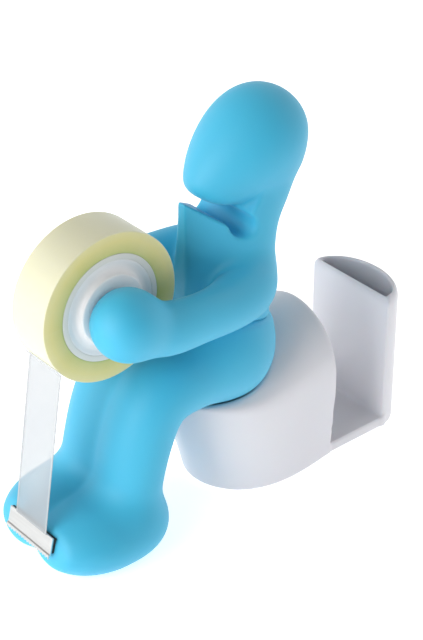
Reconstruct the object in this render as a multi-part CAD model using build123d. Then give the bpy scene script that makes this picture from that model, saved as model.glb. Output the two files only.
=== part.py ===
"""Desk organizer: a seated figure that carries a tape roll, on a pedestal with a back slot and a tank."""
import os
from math import cos, radians, sin

from build123d import *

half_turn = 180.0
rubber_t = 1.0

# Roll of tape and its hub
tape_width = 19.0
core_outer_r = 21.1
core_inner_r = 18.8
wound_t = 8.4
tape_outer_r = core_outer_r + wound_t
hub_disc_x = 8.7
boss_r = 13.8
boss_rise = 2.5
boss_root_share = 0.6
boss_edge_share = 0.28
palm_gap = 0.4
palm_x = hub_disc_x + boss_rise + palm_gap
axle_r = 3.0
axle_running_gap = 0.05
axle_in_fist = 5.4
roll_y = -59.2
roll_z = 103.8

# Head and mouth
head_long_r = 27.7
head_half_depth = 17.5
head_half_width = 19.3
head_taper_share = 0.26
head_lean = 30.1
head_y = 9.8
head_z = 141.2
egg_steps = 8
jaw_tip_y = -18.4
jaw_tip_z = 128.6
lip_gap = 3.6
mouth_r = 4.6
mouth_depth = 20.8
mouth_fall = 35.8

# Torso, stations from the waist up to the jaw
torso_z = [70.0, 84.0, 98.0, 112.0, 126.0, 137.0]
torso_half_width = [21.0, 19.6, 18.0, 16.5, 15.0, 14.2]
torso_front_y = [-24.0, -21.6, -20.0, -19.0, -18.6, -18.4]
torso_back_y = [15.6, 16.0, 18.2, 20.4, 22.6, 24.6]
torso_keel = [8.0, 6.0, 4.0, 2.6, 2.0, 2.0]
side_width_shares = [0.70, 1.0, 0.78]
side_depth_shares = [0.30, 0.60, 0.88]
neck_z = [100.0, 114.0, 124.0, 134.0]
neck_y = [6.5, 10.5, 16.5, 20.5]
neck_half_width = [14.5, 13.0, 13.2, 13.0]
neck_half_depth = [11.5, 11.0, 12.8, 12.0]

# Arms
arm_x = [9.0, 15.5, 22.0, 24.6, 23.0, 20.4]
arm_y = [6.0, 1.0, -14.0, -31.0, -47.0, -56.5]
arm_z = [94.5, 94.0, 92.0, 89.6, 92.4, 97.2]
arm_r = [9.5, 10.8, 10.4, 10.2, 11.0, 11.2]
arm_half_width = [9.5, 10.4, 9.6, 9.4, 10.2, 10.6]
fist_r = 13.8
fist_x = 20.2
fist_y = -58.0
fist_z = 99.3

# Hips, legs and feet
hips_r = 25.2
hips_y = -4.0
hips_z = 66.0
hips_depth_share = 0.93
hips_height_share = 1.04
leg_x = [9.0, 10.0, 10.2, 10.2, 10.4, 10.6]
leg_half_width = [15.6, 15.8, 15.2, 15.0, 14.8, 15.0]
leg_y = [-6.0, -24.0, -40.5, -49.0, -53.6, -57.0]
leg_z = [63.0, 62.0, 58.5, 45.0, 29.0, 12.0]
leg_r = [14.5, 14.0, 13.0, 12.6, 12.0, 12.4]
foot_x = 10.3
foot_y = -67.6
foot_z = 10.2
foot_half_width = 20.8
foot_half_length = 27.4
foot_rise = 14.2
waist_z = 79.5
waist_fall = 16.7

# Pedestal with seat, hump, floor and tank
base_wall = 2.4
seat_gap = 0.4
bowl_z = [rubber_t, 14.0, 30.0, 44.0, 70.0]
bowl_front_y = [-13.4, -17.0, -23.0, -28.6, -31.0]
bowl_half_width = [24.6, 25.4, 26.2, 26.6, 26.6]
bowl_back_y = 40.0
bowl_back_half_width = [22.3, 23.2, 24.6, 25.2, 25.2]
bowl_side_shares = [0.72, 0.16, 0.56]
arch_y = [-34.0, -12.0, 8.0, 24.0, 40.0]
arch_half_width = [27.0, 27.0, 26.8, 26.0, 25.2]
arch_top_z = [49.0, 51.0, 56.0, 63.5, 66.5]
arch_round = [10.0, 12.0, 17.0, 24.0, 26.0]
floor_half_width = 22.2
floor_thickness = 4.6
tank_front_y = 69.5
tank_half_width = 22.2
tank_depth = 16.4
tank_top_z = 63.5
tank_wall = 3.2
tank_front_wall = 2.0
tank_edge_r = 2.4
well_floor_z = 8.0
pocket_half_width = 14.0
pocket_half_depth = 12.0
pocket_floor_z = 14.0
column_r = 3.2

# Small hardware
base_plate_t = 2.0
plate_gap = 0.1
rubber_r = 4.0
foot_pad_x = 8.5
foot_pad_reach = 6.0
base_pad_x = 12.0
base_pad_y = [4.0, 60.0]
column_x = [0.0, 13.0, -13.0]
column_y = [-4.0, 28.0, 28.0]
screw_r = 1.2
screw_head_r = 2.3
screw_length = 9.0
screw_head_t = 1.2
screw_recess = 0.2
screw_gap = 0.04
waist_screw_r = 2.0
waist_screw_head_r = 3.6
waist_screw_bottom_z = 55.0
waist_screw_top_z = 96.0
waist_screw_head_t = 2.6
magnet_r = 8.0
magnet_t = 4.0
magnet_top_z = 46.2
cover_t = 1.2
ballast_width = 26.0
ballast_depth = 18.0
ballast_height = 12.0
ballast_y = -67.5
sole_plate_t = 2.0
sole_half_width = 20.0
sole_half_depth = 13.5
blade_width = 26.8
blade_height = 8.6
blade_t = 0.6
blade_step = 0.7
blade_step_share = 0.76
blade_top_y = -91.5
blade_top_z = 18.3
blade_lean = 14.0
tooth_count = 16
tooth_depth = 0.9
foam_t = 1.2
foam_side = 0.2
tail_t = 0.2
tail_peel = 40.0
tail_gap = 0.35


def limb(xs, ys, zs, across_r, other_r, level, grow=0.0):
    """A limb along a path of centres; each oval ring stands square to the path."""
    points = [Vector(x, y, z) for x, y, z in zip(xs, ys, zs)]
    last = len(points) - 1
    rings = []
    for i, p in enumerate(points):
        along = (points[min(i + 1, last)] - points[max(i - 1, 0)]).normalized()
        across = level - along * level.dot(along)
        square = Plane(origin=p, x_dir=across, z_dir=along)
        rings.append(square * Ellipse(across_r[i] + grow, other_r[i] + grow))
    return loft(rings)


def falling_plane(y, z, fall):
    """A plane through (y, z) that keeps X level and falls towards the back."""
    return Plane(origin=(0, y, z), x_dir=(1, 0, 0), z_dir=(0, sin(radians(fall)), cos(radians(fall))))


def upright_plane(y):
    """A plane across the part, with its own second axis upwards."""
    return Plane(origin=(0, y, 0), x_dir=(1, 0, 0), z_dir=(0, -1, 0))


def mirror_x(shape):
    """The same shape on the other side of the middle plane."""
    return mirror(shape, about=Plane.YZ)


def solid_of(shape):
    """The largest solid of a result."""
    return max(shape.solids(), key=lambda s: s.volume)


def post(x, y, low, high, r):
    """An upright cylinder between two heights."""
    return Pos(x, y, (low + high) / 2) * Cylinder(r, high - low)


def oval_ball(x, y, z, wide, deep, tall):
    """A ball stretched to three half sizes."""
    return Pos(x, y, z) * scale(Sphere(wide), by=(1, deep / wide, tall / wide))


def hips(grow=0.0):
    """The rounded seat of the figure, an ellipsoid."""
    deep = hips_r * hips_depth_share + grow
    tall = hips_r * hips_height_share + grow
    return oval_ball(0, hips_y, hips_z, hips_r + grow, deep, tall)


def legs(grow=0.0):
    """Both legs from the hip over the knee to the ankle."""
    near = limb(leg_x, leg_y, leg_z, leg_half_width, leg_r, Vector(1, 0, 0), grow)
    return near + mirror_x(near)


def feet():
    """Both feet side by side, flat below, with the toes planed off in front for the cutter."""
    near = oval_ball(foot_x, foot_y, foot_z, foot_half_width, foot_half_length, foot_rise)
    size = 4 * foot_half_length
    ground = Pos(0, foot_y, rubber_t - size / 2) * Box(size, size, size)
    front = blade_plane() * (Pos(size / 2 - foam_t, 0, 0) * Box(size, size, size))
    return near + mirror_x(near) - ground - front


def waist_tool(above):
    """Everything above, or everything below, the parting of the figure."""
    size = 6 * hips_r
    side = size / 2 if above else -size / 2
    return falling_plane(0, waist_z, waist_fall) * (Pos(0, 0, side) * Box(2 * size, 2 * size, size))


def waist_screw_hole():
    """The shank of the waist screw."""
    return post(0, hips_y, waist_screw_bottom_z, waist_screw_top_z, waist_screw_r)


def waist_screw_room():
    """The counterbore for the head of the waist screw."""
    return post(0, hips_y, magnet_top_z, waist_screw_bottom_z + waist_screw_head_t, waist_screw_head_r)


def sole_top():
    """Height of the upper face of the sole plate."""
    return rubber_t + sole_plate_t


def sole_blank(gap=0.0):
    """The oval of the sole plate."""
    oval = Plane(origin=(0, ballast_y, rubber_t)) * Ellipse(sole_half_width + gap, sole_half_depth + gap)
    return extrude(oval, sole_plate_t)


def ballast_blank():
    """The block of the ballast, standing on the sole plate."""
    block = Box(ballast_width, ballast_depth, ballast_height)
    return Pos(0, ballast_y, sole_top() + ballast_height / 2) * block


def sole_screw_places():
    """Two screws hold the sole plate, one beside each end of the ballast."""
    reach = (ballast_width / 2 + sole_half_width) / 2
    return [(-reach, ballast_y), (reach, ballast_y)]


def screw(x, y, gap=0.0):
    """A countersunk screw driven upwards from the underside; a gap makes it the tool for its hole."""
    low = rubber_t + screw_recess - gap
    high = rubber_t + screw_length + gap
    neck_z = low + screw_head_t + gap
    thick = screw_r + gap
    sides = [(0, low), (screw_head_r + gap, low), (thick, neck_z), (thick, high), (0, high)]
    outline = Plane.XZ * make_face(Polyline(*sides, close=True))
    return Pos(x, y, 0) * revolve(outline, Axis.Z)


def make_lower_body():
    """Hips, legs and feet, with the hollows for the hidden pieces."""
    body = hips() + legs() + feet()
    body -= waist_tool(True)
    body -= post(0, hips_y, magnet_top_z - hips_r, magnet_top_z, magnet_r)
    body -= waist_screw_hole() + waist_screw_room()
    body -= ballast_blank() + sole_blank(plate_gap)
    for x, y in sole_screw_places():
        body -= screw(x, y, screw_gap)
    return solid_of(body)


def torso_section(i):
    """One level slice of the torso: a narrow front face, full sides and a round back."""
    w = torso_half_width[i]
    front = torso_front_y[i]
    deep = torso_back_y[i] - front
    right = [(torso_keel[i], front)]
    right += [(a * w, front + b * deep) for a, b in zip(side_width_shares, side_depth_shares)]
    left = [(-x, y) for x, y in reversed(right)]
    sides = Spline(*(right + [(0, torso_back_y[i])] + left))
    return Plane(origin=(0, 0, torso_z[i])) * make_face([sides, Line(left[-1], right[0])])


def neck():
    """The back of the neck, from the shoulders into the head."""
    rings = []
    for y, z, w, d in zip(neck_y, neck_z, neck_half_width, neck_half_depth):
        rings.append(Plane(origin=(0, y, z)) * Ellipse(w, d))
    return loft(rings)


def head():
    """The egg of the head, full at the crown and slim at the chin, leaning back."""
    profile = []
    for i in range(egg_steps + 1):
        turn = radians(half_turn * i / egg_steps)
        along = -cos(turn)
        profile.append((head_half_depth * sin(turn) * (1 + head_taper_share * along), head_long_r * along))
    profile[0] = (0, -head_long_r)
    profile[-1] = (0, head_long_r)
    side = Spline(*profile)
    egg = revolve(make_face([side, Line(profile[-1], profile[0])]), Axis.Y)
    egg = scale(egg, by=(head_half_width / head_half_depth, 1, 1))
    return Pos(0, head_y, head_z) * Rot(head_lean, 0, 0) * egg


def mouth():
    """The slot between jaw and head: narrow lips in front of a round channel."""
    span = 4 * head_long_r
    lips = Pos(0, (mouth_depth - span) / 2, lip_gap / 2) * Box(span, mouth_depth + span, lip_gap)
    channel = Pos(0, mouth_depth, lip_gap / 2) * Rot(0, 90, 0) * Cylinder(mouth_r, span)
    return falling_plane(jaw_tip_y, jaw_tip_z, mouth_fall) * (lips + channel)


def above_jaw():
    """The room above the jaw, which belongs to the head."""
    span = 4 * head_long_r
    block = Pos(0, (mouth_depth - span) / 2, span / 2) * Box(span, mouth_depth + span, span)
    return falling_plane(jaw_tip_y, jaw_tip_z, mouth_fall) * block


def arms():
    """Both arms, each with a round fist on the axle."""
    near = limb(arm_x, arm_y, arm_z, arm_r, arm_half_width, Vector(0, 0, 1))
    near += Pos(fist_x, fist_y, fist_z) * Sphere(fist_r)
    return near + mirror_x(near)


def make_hub_axle():
    """A plain pin between the fists."""
    return Pos(0, roll_y, roll_z) * Rot(0, 90, 0) * Cylinder(axle_r, 2 * (palm_x + axle_in_fist))


def palm_room():
    """The room for the roll between two flat palms."""
    size = 4 * fist_r
    return Pos(0, fist_y, fist_z) * Box(2 * palm_x, size, size)


def make_upper_body():
    """Head, torso and arms in one skin, with the mouth slot."""
    body = loft([torso_section(i) for i in range(len(torso_z))])
    body -= above_jaw()
    body += neck()
    body += head()
    body -= mouth()
    body += arms() - palm_room()
    body -= waist_tool(False)
    body -= make_hub_axle()
    body -= waist_screw_hole()
    return solid_of(body)


def bowl_section(i, inset):
    """One level slice of the pedestal: a round front, full sides and a straight back."""
    front = bowl_front_y[i] + inset
    back = bowl_back_y - inset
    deep = back - front
    w = bowl_half_width[i] - inset
    end = min(w, bowl_back_half_width[i] - inset)
    full = (w, front + deep * bowl_side_shares[2])
    cheek = (w * bowl_side_shares[0], front + deep * bowl_side_shares[1])
    right = [(end, back), full, cheek]
    left = [(-x, y) for x, y in reversed(right)]
    sides = Spline(*(right + [(0, front)] + left))
    return Plane(origin=(0, 0, bowl_z[i])) * make_face([sides, Line(left[-1], right[0])])


def arch_section(i, inset):
    """One upright slice of the pedestal: straight sides under a round back."""
    w = arch_half_width[i] - inset
    spring = arch_top_z[i] - arch_round[i]
    rise = arch_round[i] - inset
    foot = bowl_z[0]
    over = EllipticalCenterArc((0, spring), w, rise, 0, arc_size=half_turn)
    edges = [Line((-w, foot), (w, foot)), Line((w, foot), (w, spring)), over, Line((-w, spring), (-w, foot))]
    return upright_plane(arch_y[i]) * make_face(edges)


def pedestal(inset=0.0):
    """The pedestal before the seat is cut: the plan and the arch in common."""
    plan = loft([bowl_section(i, inset) for i in range(len(bowl_z))])
    arch = loft([arch_section(i, inset) for i in range(len(arch_y))])
    return plan & arch


def tank_blank(front, half, deep, low, high):
    """A D-shaped block, flat towards the slot."""
    flat = Line((-half, front), (half, front))
    round_side = EllipticalCenterArc((0, front), half, deep, 0, arc_size=half_turn)
    return extrude(Plane(origin=(0, 0, low)) * make_face([flat, round_side]), high - low)


def make_tank():
    """The tank with a softened rim and its well."""
    block = tank_blank(tank_front_y, tank_half_width, tank_depth, bowl_z[0], tank_top_z)
    rim = block.edges().group_by(Axis.Z)[-1].sort_by(Axis.Y)[-1]
    block = fillet(rim, tank_edge_r)
    well_deep = tank_depth - tank_front_wall - tank_wall
    well_front = tank_front_y + tank_front_wall
    well_half = tank_half_width - tank_wall
    return block - tank_blank(well_front, well_half, well_deep, well_floor_z, 2 * tank_top_z)


def pocket(grow):
    """The bowl under the seat."""
    oval = Ellipse(pocket_half_width + grow, pocket_half_depth + grow)
    return extrude(Plane(origin=(0, hips_y, pocket_floor_z - grow)) * oval, 2 * hips_z)


def plate_top():
    """Height of the upper face of the base plate."""
    return bowl_z[0] + base_plate_t


def make_base_shell():
    """The white moulding: pedestal with seat and bowl, slot floor and tank, hollow under the seat."""
    size = 2 * arch_half_width[0]
    floor_length = tank_front_y - bowl_back_y + 2 * base_wall
    floor_y = (tank_front_y + bowl_back_y) / 2
    slab = Box(2 * floor_half_width, floor_length, floor_thickness)
    slab = Pos(0, floor_y, bowl_z[0] + floor_thickness / 2) * slab
    shell = pedestal() + slab + make_tank()
    core = pedestal(base_wall)
    core -= hips(seat_gap + base_wall) + legs(seat_gap + base_wall)
    core -= pocket(base_wall)
    for x, y in zip(column_x, column_y):
        core -= post(x, y, plate_top(), plate_top() + size, column_r)
    shell -= core
    shell -= hips(seat_gap) + legs(seat_gap)
    shell -= pocket(0.0)
    for x, y in zip(column_x, column_y):
        shell -= screw(x, y, screw_gap)
    return solid_of(shell)


def make_base_plate():
    """The plate that closes the pedestal from below."""
    size = 8 * hips_r
    slab = Pos(0, 0, bowl_z[0] + base_plate_t / 2) * Box(size, size, base_plate_t)
    plate = pedestal(base_wall + plate_gap) & slab
    for x, y in zip(column_x, column_y):
        plate -= screw(x, y, screw_gap)
    return solid_of(plate)


def make_hub(side):
    """One half of the hub: a disc in the core and a round boss with a hollow root, bored for the axle."""
    bore = axle_r + axle_running_gap
    root = boss_rise * boss_root_share
    edge = boss_rise * boss_edge_share
    top = hub_disc_x + boss_rise
    edges = [
        Line((0, bore), (0, core_inner_r)),
        Line((0, core_inner_r), (hub_disc_x, core_inner_r)),
        Line((hub_disc_x, core_inner_r), (hub_disc_x, boss_r + root)),
        CenterArc((hub_disc_x + root, boss_r + root), root, half_turn, half_turn / 2),
        Line((hub_disc_x + root, boss_r), (top - edge, boss_r)),
        CenterArc((top - edge, boss_r - edge), edge, half_turn / 2, -half_turn / 2),
        Line((top, boss_r - edge), (top, bore)),
        Line((top, bore), (0, bore)),
    ]
    half = revolve(Plane.XZ * make_face(edges), Axis.X)
    if side < 0:
        half = mirror_x(half)
    return Pos(0, roll_y, roll_z) * half


def make_ring(outer, inner, width):
    """A plain ring on the axle line."""
    ring = Cylinder(outer, width) - Cylinder(inner, width)
    return Pos(0, roll_y, roll_z) * Rot(0, 90, 0) * ring


def blade_plane():
    """Plane on the cutter's face: first axis outwards, second axis down."""
    lean = radians(blade_lean)
    return Plane(origin=(0, blade_top_y, blade_top_z), x_dir=(0, -cos(lean), sin(lean)), z_dir=(1, 0, 0))


def make_cutter_blade():
    """A stepped strip of sheet steel with a toothed lower edge."""
    a = blade_height * blade_step_share
    h = blade_height
    out = blade_step + blade_t
    outline = Polyline((0, 0), (blade_t, 0), (blade_t, a), (out, a), (out, h), (blade_step, h),
                       (blade_step, a + blade_t), (0, a + blade_t), close=True)
    blade = extrude(blade_plane() * make_face(outline), blade_width / 2, both=True)
    pitch = blade_width / tooth_count
    for i in range(tooth_count):
        x = -blade_width / 2 + (i + 0.5) * pitch
        notch = Polyline((x - pitch / 2, h), (x, h - tooth_depth), (x + pitch / 2, h), close=True)
        lean = radians(blade_lean)
        face = Plane(origin=(0, blade_top_y, blade_top_z), x_dir=(1, 0, 0), z_dir=(0, cos(lean), -sin(lean)))
        blade -= extrude(face * make_face(notch), 2 * out, both=True)
    return blade


def make_cutter_pad():
    """The dark sticky pad between the cutter and the toes."""
    low = blade_height * blade_step_share
    outline = Polyline((0, foam_side), (0, low), (-foam_t, low), (-foam_t, foam_side), close=True)
    return extrude(blade_plane() * make_face(outline), blade_width / 2, both=True)


def make_tape_tail():
    """The free end of the tape, from the roll down to the cutter."""
    r = tape_outer_r + tail_gap
    turn = radians(tail_peel)
    start = (roll_y - r * cos(turn), roll_z - r * sin(turn))
    end = (blade_top_y - blade_t - tail_gap, blade_top_z)
    outline = Polyline(start, (start[0] - tail_t, start[1]), (end[0] - tail_t, end[1]), end, close=True)
    return extrude(Plane.YZ * make_face(outline), tape_width / 2, both=True)


def make_waist_screw():
    """The screw that joins the two halves of the figure."""
    head_top = waist_screw_bottom_z + waist_screw_head_t
    return post(0, hips_y, waist_screw_bottom_z, head_top, waist_screw_head_r) + waist_screw_hole()


def make_pads(x, ys):
    """Four round rubber pads on the floor."""
    pads = []
    for y in ys:
        for s in (-1, 1):
            pads.append(solid_of(post(s * x, y, 0, rubber_t, rubber_r)))
    return Compound(pads)


def make_screws(places):
    """A set of countersunk screws."""
    return Compound([solid_of(screw(x, y)) for x, y in places])


def make_sole_plate():
    """The plate under the ballast."""
    plate = sole_blank()
    for x, y in sole_screw_places():
        plate -= screw(x, y, screw_gap)
    return plate


def make_all():
    """Every piece by name, in the working frame."""
    magnet_low = magnet_top_z - magnet_t
    foot_pad_ys = [ballast_y - foot_pad_reach, ballast_y + foot_pad_reach]
    return {
        "base_shell": make_base_shell(),
        "base_plate": make_base_plate(),
        "base_screws": make_screws(zip(column_x, column_y)),
        "base_feet": make_pads(base_pad_x, base_pad_y),
        "upper_body": make_upper_body(),
        "lower_body": make_lower_body(),
        "waist_screw": make_waist_screw(),
        "seat_magnet": post(0, hips_y, magnet_low, magnet_top_z, magnet_r),
        "magnet_cover": post(0, hips_y, magnet_low - cover_t, magnet_low, magnet_r),
        "ballast_block": ballast_blank(),
        "sole_plate": make_sole_plate(),
        "sole_screws": make_screws(sole_screw_places()),
        "sole_pads": make_pads(foot_pad_x, foot_pad_ys),
        "hub_axle": make_hub_axle(),
        "hub_left": make_hub(1),
        "hub_right": make_hub(-1),
        "tape_core": make_ring(core_outer_r, core_inner_r, tape_width),
        "tape_winding": make_ring(tape_outer_r, core_outer_r, tape_width),
        "tape_tail": make_tape_tail(),
        "cutter_blade": make_cutter_blade(),
        "cutter_pad": make_cutter_pad(),
    }


def main():
    """Centre the whole on the origin and write one file for each piece."""
    pieces = make_all()
    boxes = [p.bounding_box() for p in pieces.values()]
    middle = (min(b.min.Y for b in boxes) + max(b.max.Y for b in boxes)) / 2
    os.makedirs("parts", exist_ok=True)
    for name, piece in pieces.items():
        placed = Pos(0, -middle, 0) * piece
        placed.label = name
        export_step(placed, os.path.join("parts", name + ".step"))
    print("middle", middle)


main()
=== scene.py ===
"""Looks of a desk organizer: a seated soft-touch figure holds a roll of tape, on a white pedestal.

Sizes are in millimetres in the maker's frame, whose roll axle is at (0, roll_y, roll_z). to_row() moves
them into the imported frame, in metres.
"""
from math import cos, pi, radians, sin

import bpy
import numpy as np
from mathutils import Matrix, Vector


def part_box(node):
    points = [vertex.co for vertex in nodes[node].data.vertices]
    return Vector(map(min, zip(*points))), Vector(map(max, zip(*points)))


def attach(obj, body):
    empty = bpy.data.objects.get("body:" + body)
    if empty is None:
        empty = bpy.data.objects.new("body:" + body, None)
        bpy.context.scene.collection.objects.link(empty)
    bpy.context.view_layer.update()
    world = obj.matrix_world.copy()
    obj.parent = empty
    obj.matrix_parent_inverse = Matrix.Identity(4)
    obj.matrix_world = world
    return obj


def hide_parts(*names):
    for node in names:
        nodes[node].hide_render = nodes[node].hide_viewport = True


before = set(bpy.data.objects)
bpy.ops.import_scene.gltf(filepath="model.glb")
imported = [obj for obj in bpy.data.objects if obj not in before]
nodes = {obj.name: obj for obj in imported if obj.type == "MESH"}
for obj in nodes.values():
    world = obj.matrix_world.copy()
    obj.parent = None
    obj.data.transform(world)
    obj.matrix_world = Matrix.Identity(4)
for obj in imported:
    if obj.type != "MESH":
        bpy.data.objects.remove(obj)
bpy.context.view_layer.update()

# Sizes shared with the solids, in millimetres
mm = 0.001
roll_y, roll_z = -59.2, 103.8
tape_half, tape_outer, core_outer, core_inner = 9.5, 29.5, 21.1, 18.8
hub_disc, boss_r, boss_top, axle_bore, palm = 8.7, 13.8, 11.2, 3.05, 11.6
rubber_t = 1.0
tape_round, core_round = 0.35, 0.15

head_at, head_r, head_lean, head_taper = (0.0, 9.8, 141.2), (19.3, 27.7, 17.5), 30.1, 0.26
jaw_tip, mouth_fall, lip_gap, mouth_depth, mouth_r = (-18.4, 128.6), 35.8, 3.6, 20.8, 4.6
torso_z = (70.0, 84.0, 98.0, 112.0, 126.0, 137.0)
torso_half = (21.0, 19.6, 18.0, 16.5, 15.0, 14.2)
torso_front = (-24.0, -21.6, -20.0, -19.0, -18.6, -18.4)
torso_back = (15.6, 16.0, 18.2, 20.4, 22.6, 24.6)
torso_keel = (8.0, 6.0, 4.0, 2.6, 2.0, 2.0)
torso_middle_share = 0.55
# Path rows: centre x, y, z, radius in the upright plane, half width across
neck_path = ((0, 6.5, 100, 11.5, 14.5), (0, 10.5, 114, 11, 13), (0, 16.5, 124, 12.8, 13.2),
             (0, 20.5, 134, 12, 13))
arm_path = ((9, 6, 94.5, 9.5, 9.5), (15.5, 1, 94, 10.8, 10.4), (21.8, -14, 93.6, 10.2, 9.6),
            (24.3, -31, 95, 9.8, 8), (22.8, -47, 96.4, 10.2, 9.8), (20.4, -57.5, 100.8, 10.6, 10.6))
fist_at, fist_r = (20.2, -60.2, 102.2), (13.4, 13.4, 13.4)
hips_at, hips_r = (0.0, -4.0, 66.0), (25.2, 23.4, 26.2)
leg_path = ((9, -6, 63, 14.5, 15.6), (10, -24, 62, 14, 15.8), (10.2, -40.5, 58.5, 13, 15.2),
            (10.2, -49, 45, 12.6, 15), (10.4, -53.6, 29, 12, 14.8), (10.6, -57, 12, 12.4, 15))
foot_at, foot_r = (10.3, -67.6, 10.2), (20.8, 27.4, 14.2)
waist_z, waist_fall = 79.5, 16.7
palm_back, far_inside = -30.0, -30.0
thigh_groove, toe_groove = 2.4, 1.2

seat_gap, base_wall, plate_top = 0.4, 2.4, 3.0
bowl_z = (1.0, 14.0, 30.0, 44.0, 70.0)
bowl_front = (-13.4, -17.0, -23.0, -28.6, -31.0)
bowl_half = (24.6, 25.4, 26.2, 26.6, 26.6)
bowl_back_half = (22.3, 23.2, 24.6, 25.2, 25.2)
bowl_back, bowl_middle = 40.0, 8.0
# Arch rows: y, half width, top, height of the round part
arch_rows = ((-34, 27, 49, 10), (-12, 27, 51, 12), (8, 26.8, 56, 17), (24, 26, 63.5, 24),
             (40, 25.2, 66.5, 26))
floor_half, floor_top, floor_front_lap, floor_back_lap = 22.2, 5.6, 8.0, 1.0
tank_front, tank_half, tank_deep, tank_top = 69.5, 22.2, 16.4, 63.5
tank_wall, tank_lip, tank_edge = 3.2, 2.0, 2.4
well_floor = 8.0
pocket_at, pocket_r, pocket_floor = (0.0, -4.0), (14.0, 12.0), 14.0
magnet_r, magnet_top = 8.0, 46.2
sole_at, sole_r, sole_top = (0.0, -67.5), (20.1, 13.6), 3.0

blade_top, blade_lean, blade_high, blade_half = (-91.5, 18.3), 14.0, 8.6, 13.4
blade_t, blade_step, blade_step_share, blade_slope = 0.6, 0.7, 0.76, 0.5
teeth, tooth_steps, tooth_deep, tooth_root = 16, 8, 0.9, 1.6
pad_t, pad_inset, pad_gap, pad_edge = 1.2, 0.2, 0.02, 0.2
tail_start, tail_peel, tail_gap, tail_t = 34.0, 40.0, 0.35, 0.2
tail_over_blade, tail_end_down = 0.15, 0.2

# Widths over which two forms of the figure melt together
leg_blend, foot_blend, neck_blend, nape_blend, head_blend = 9.0, 8.0, 6.0, 9.0, 1.5
fist_blend, shoulder_blend, channel_blend = 5.0, 5.0, 1.5
# Widths over which edges of the figure are rounded
toe_edge, sole_edge, hip_edge, waist_edge, palm_edge = 2.4, 1.2, 2.6, 1.0, 1.2
jaw_edge, lip_edge_above, lip_edge_below = 1.0, 4.5, 1.6
# The same for the pedestal
floor_blend, tank_blend, arch_edge, base_edge, seat_edge = 1.5, 2.0, 2.2, 1.0, 1.6
tank_corner, tank_foot, well_top_edge, hollow_edge, pocket_corner = 0.6, 0.8, 0.6, 1.4, 6.0

grain_step = 0.8
turn_steps, corner_steps, tail_steps, pad_steps = 160, 5, 13, 9
smoothing, probe_share, least_slope = 0.55, 0.25, 0.05
near_zero, tiny = 0.01, 1e-6

low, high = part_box("tape_winding")
roll_middle = np.array((low + high) / 2, float)
shift = roll_middle - np.array([0.0, roll_y, roll_z]) * mm


def to_row(points):
    """Millimetres of the maker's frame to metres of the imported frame."""
    return np.asarray(points, float) * mm + shift


# ------------------------------------------------------------------ fields
def soft_min(a, b, k):
    """Union of two fields: the lower one, lowered by a parabola of width k where they are nearly equal."""
    h = np.maximum(k - np.abs(a - b), 0) / k
    return np.minimum(a, b) - h * h * (k * 0.25)


def soft_max(a, b, k):
    """Common part of two fields, with its edges rounded over a width k."""
    return -soft_min(-a, -b, k)


def rows_through(knots, count):
    """Natural cubic spline through rows of knots, spaced by the length of their first three columns."""
    k = np.asarray(knots, float)
    s = np.concatenate([[0.0], np.cumsum(np.linalg.norm(np.diff(k[:, :3], axis=0), axis=1))])
    h = np.diff(s)
    i = np.arange(1, len(s) - 1)
    a = np.eye(len(s))
    b = np.zeros_like(k)
    a[i, i - 1], a[i, i], a[i, i + 1] = h[i - 1], 2 * (h[i - 1] + h[i]), h[i]
    b[i] = 6 * ((k[i + 1] - k[i]) / h[i, None] - (k[i] - k[i - 1]) / h[i - 1, None])
    m = np.linalg.solve(a, b)
    t = np.linspace(0, s[-1], count)
    j = np.clip(np.searchsorted(s, t, side="right") - 1, 0, len(h) - 1)
    g, u, v = h[j][:, None], (t - s[j])[:, None], (s[j + 1] - t)[:, None]
    bend = (m[j] * v ** 3 + m[j + 1] * u ** 3) / (6 * g)
    return bend + (k[j] / g - m[j] * g / 6) * v + (k[j + 1] / g - m[j + 1] * g / 6) * u


def oval(*pairs):
    """Field of an oval from pairs of offset and radius: k (k - 1) / |gradient of k|, where k is 1 on its
    surface."""
    k = np.sqrt(sum((d / r) ** 2 for d, r in pairs))
    slope = np.sqrt(sum((d / r ** 2) ** 2 for d, r in pairs))
    return k * (k - 1) / np.maximum(slope, tiny)


def egg(x, y, z, at, r, lean=0.0, taper=0.0):
    """Field of an oval ball whose second axis leans up by an angle. A taper widens one end and narrows the
    other."""
    c, s = cos(radians(lean)), sin(radians(lean))
    dx, dy, dz = x - at[0], y - at[1], z - at[2]
    u, v = dy * c + dz * s, dz * c - dy * s
    if taper:
        full = 1 + taper * np.clip(u / r[1], -1, 1)
        dx, v = dx / full, v / full
    return oval((dx, r[0]), (u, r[1]), (v, r[2]))


def limb(x, y, z, path):
    """Distance to a chain of short cones along a path; X is squeezed so that its rings are ovals."""
    best = None
    for a, b in zip(path[:-1], path[1:]):
        squeeze = float(a[3] / a[4])
        d = [float(q) for q in b - a]
        px, py, pz, dx = (x - float(a[0])) * squeeze, y - float(a[1]), z - float(a[2]), d[0] * squeeze
        t = np.clip((px * dx + py * d[1] + pz * d[2]) / (dx * dx + d[1] ** 2 + d[2] ** 2), 0, 1)
        away = np.sqrt((px - t * dx) ** 2 + (py - t * d[1]) ** 2 + (pz - t * d[2]) ** 2)
        away = away - (float(a[3]) + t * d[3])
        best = away if best is None else np.minimum(best, away)
    return best


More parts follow.
